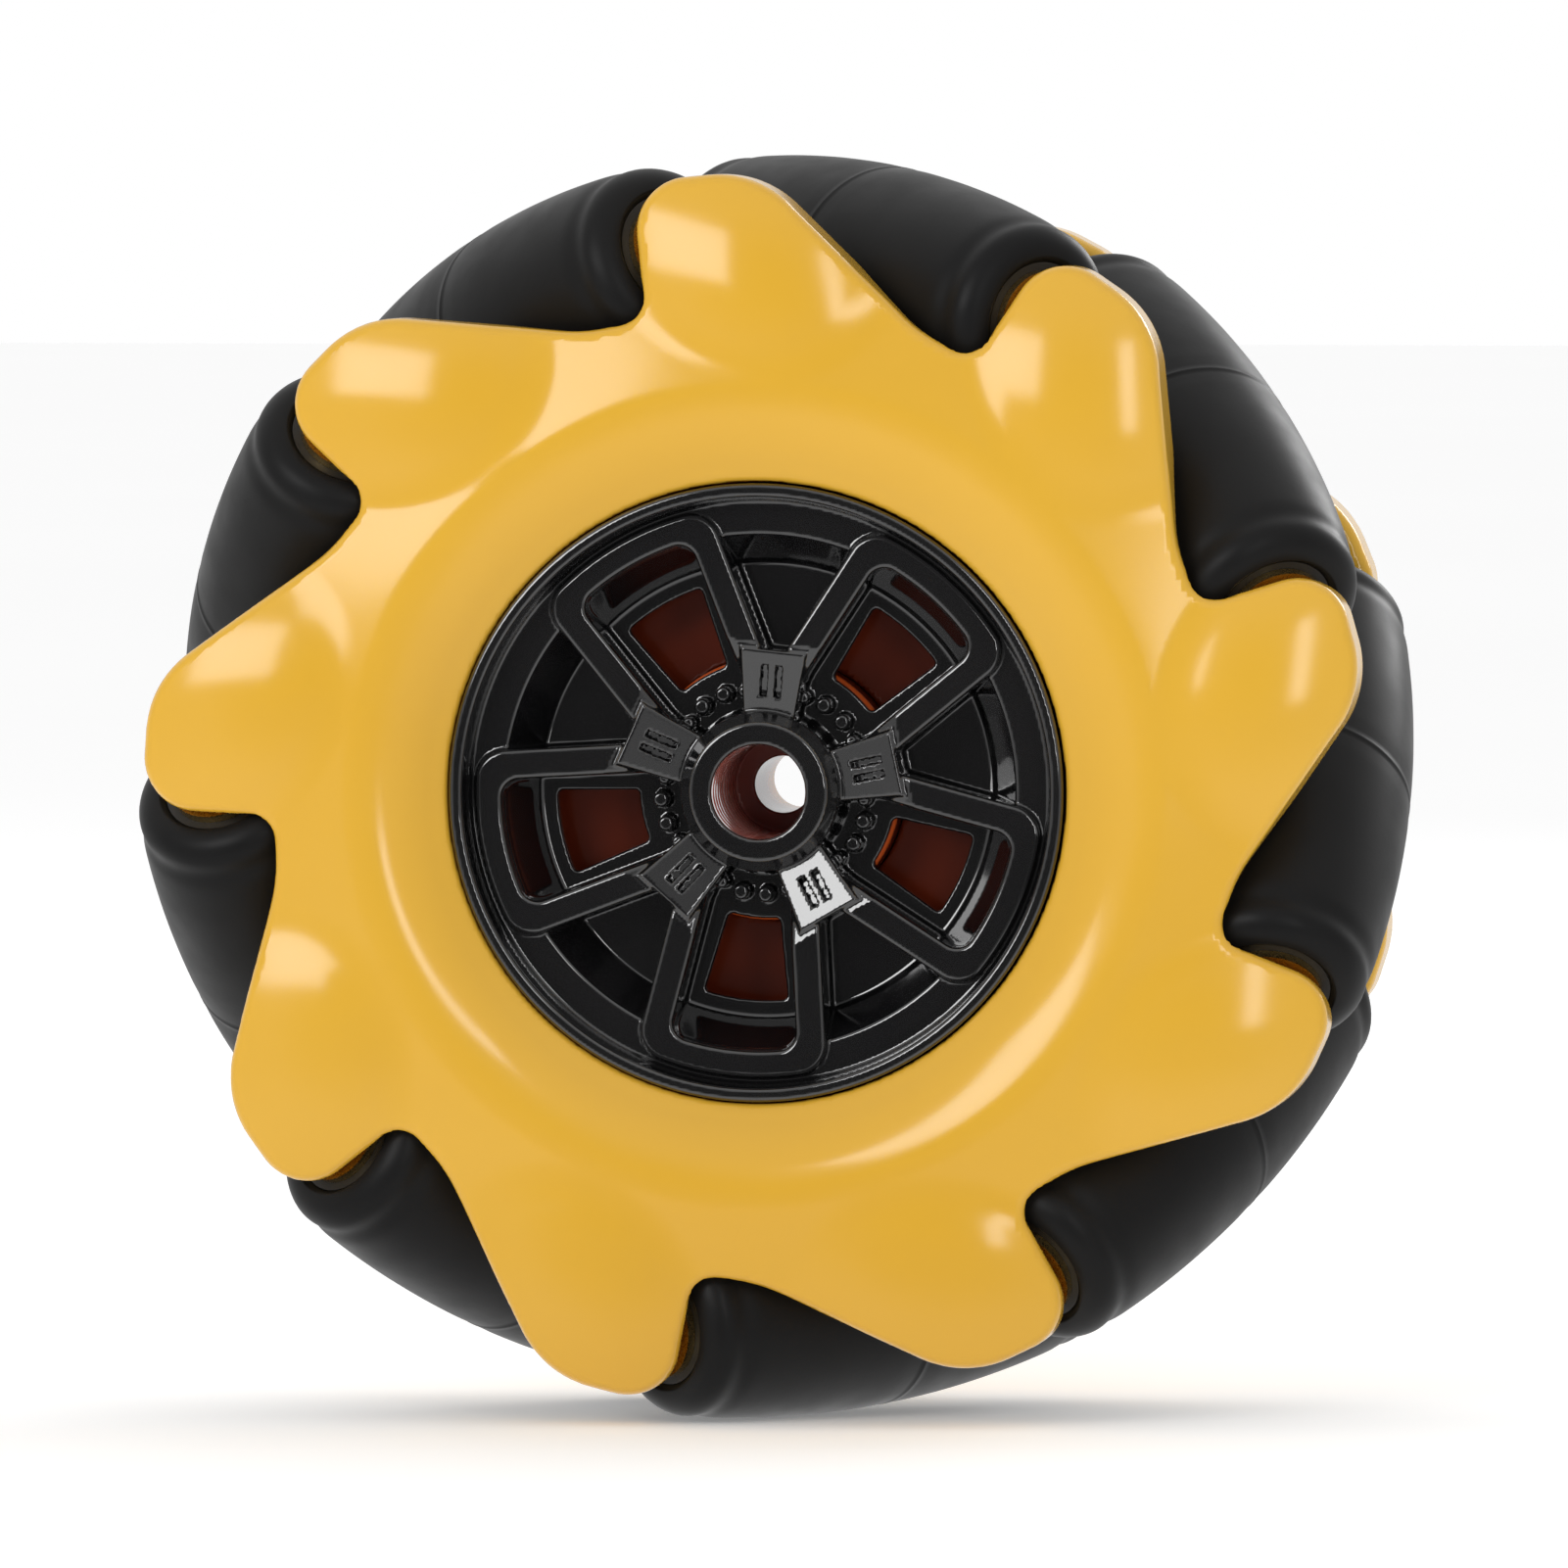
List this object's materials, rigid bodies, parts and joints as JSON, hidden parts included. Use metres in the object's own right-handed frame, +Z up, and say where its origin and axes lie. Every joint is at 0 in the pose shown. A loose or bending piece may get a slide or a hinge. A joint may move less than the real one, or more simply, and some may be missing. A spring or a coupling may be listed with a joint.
{
  "type": "mecanum wheel",
  "caption": "Mecanum wheel: free-turning barrel rollers set at 45 degrees between lobed yellow plates, with a black spoked hub cap and a hexagonal drive socket behind it.",
  "frame": {"origin": "centre of the wheel: on the axle's line, midway between the outer faces of the two plates, inside the screw bore", "axes": "+Y along the axle towards the drive socket, so the hub cap faces -Y; +Z up; the wheel spins about +Y"},
  "size_m": [0.097, 0.042, 0.097],
  "materials": {
    "yellow_plastic": "glossy golden-yellow moulded plastic",
    "black_gloss": "glossy black moulded plastic",
    "rubber": "satin black moulded rubber",
    "core_plastic": "matte black plastic",
    "brass": "turned brass",
    "steel": "bright turned steel"
  },
  "bodies": {
    "wheel": {"front_plate": "yellow_plastic", "rear_plate": "yellow_plastic", "hub_cap": "black_gloss", "hub_core": "yellow_plastic", "plate_screws": "steel", "roller_pin_1": "steel", "roller_pin_2": "steel", "roller_pin_3": "steel", "roller_pin_4": "steel", "roller_pin_5": "steel", "roller_pin_6": "steel", "roller_pin_7": "steel", "roller_pin_8": "steel", "roller_pin_9": "steel"},
    "roller_1": {"roller_tyre_1": "rubber", "roller_core_1": "core_plastic", "roller_bushes_1": "brass"},
    "roller_2": {"roller_tyre_2": "rubber", "roller_core_2": "core_plastic", "roller_bushes_2": "brass"},
    "roller_3": {"roller_tyre_3": "rubber", "roller_core_3": "core_plastic", "roller_bushes_3": "brass"},
    "roller_4": {"roller_tyre_4": "rubber", "roller_core_4": "core_plastic", "roller_bushes_4": "brass"},
    "roller_5": {"roller_tyre_5": "rubber", "roller_core_5": "core_plastic", "roller_bushes_5": "brass"},
    "roller_6": {"roller_tyre_6": "rubber", "roller_core_6": "core_plastic", "roller_bushes_6": "brass"},
    "roller_7": {"roller_tyre_7": "rubber", "roller_core_7": "core_plastic", "roller_bushes_7": "brass"},
    "roller_8": {"roller_tyre_8": "rubber", "roller_core_8": "core_plastic", "roller_bushes_8": "brass"},
    "roller_9": {"roller_tyre_9": "rubber", "roller_core_9": "core_plastic", "roller_bushes_9": "brass"}
  },
  "joints": [
    {"name": "roller_1_spin", "type": "hinge", "parent": "wheel", "child": "roller_1", "pos_m": [0.03065, 0, 0.0246], "axis": [0.4426, -0.7071, -0.5515], "continuous": true},
    {"name": "roller_2_spin", "type": "hinge", "parent": "wheel", "child": "roller_2", "pos_m": [0.00767, 0, 0.03854], "axis": [0.6935, -0.7071, -0.1379], "continuous": true},
    {"name": "roller_3_spin", "type": "hinge", "parent": "wheel", "child": "roller_3", "pos_m": [-0.0189, 0, 0.03446], "axis": [0.6199, -0.7071, 0.3401], "continuous": true},
    {"name": "roller_4_spin", "type": "hinge", "parent": "wheel", "child": "roller_4", "pos_m": [-0.03663, 0, 0.01424], "axis": [0.2563, -0.7071, 0.659], "continuous": true},
    {"name": "roller_5_spin", "type": "hinge", "parent": "wheel", "child": "roller_5", "pos_m": [-0.03721, 0, -0.01263], "axis": [-0.2273, -0.7071, 0.6696], "continuous": true},
    {"name": "roller_6_spin", "type": "hinge", "parent": "wheel", "child": "roller_6", "pos_m": [-0.02039, 0, -0.0336], "axis": [-0.6045, -0.7071, 0.3668], "continuous": true},
    {"name": "roller_7_spin", "type": "hinge", "parent": "wheel", "child": "roller_7", "pos_m": [0.00598, 0, -0.03884], "axis": [-0.6989, -0.7071, -0.1076], "continuous": true},
    {"name": "roller_8_spin", "type": "hinge", "parent": "wheel", "child": "roller_8", "pos_m": [0.02955, 0, -0.02591], "axis": [-0.4662, -0.7071, -0.5316], "continuous": true},
    {"name": "roller_9_spin", "type": "hinge", "parent": "wheel", "child": "roller_9", "pos_m": [0.03929, 0, -0.00086], "axis": [-0.0154, -0.7071, -0.7069], "continuous": true}
  ]
}
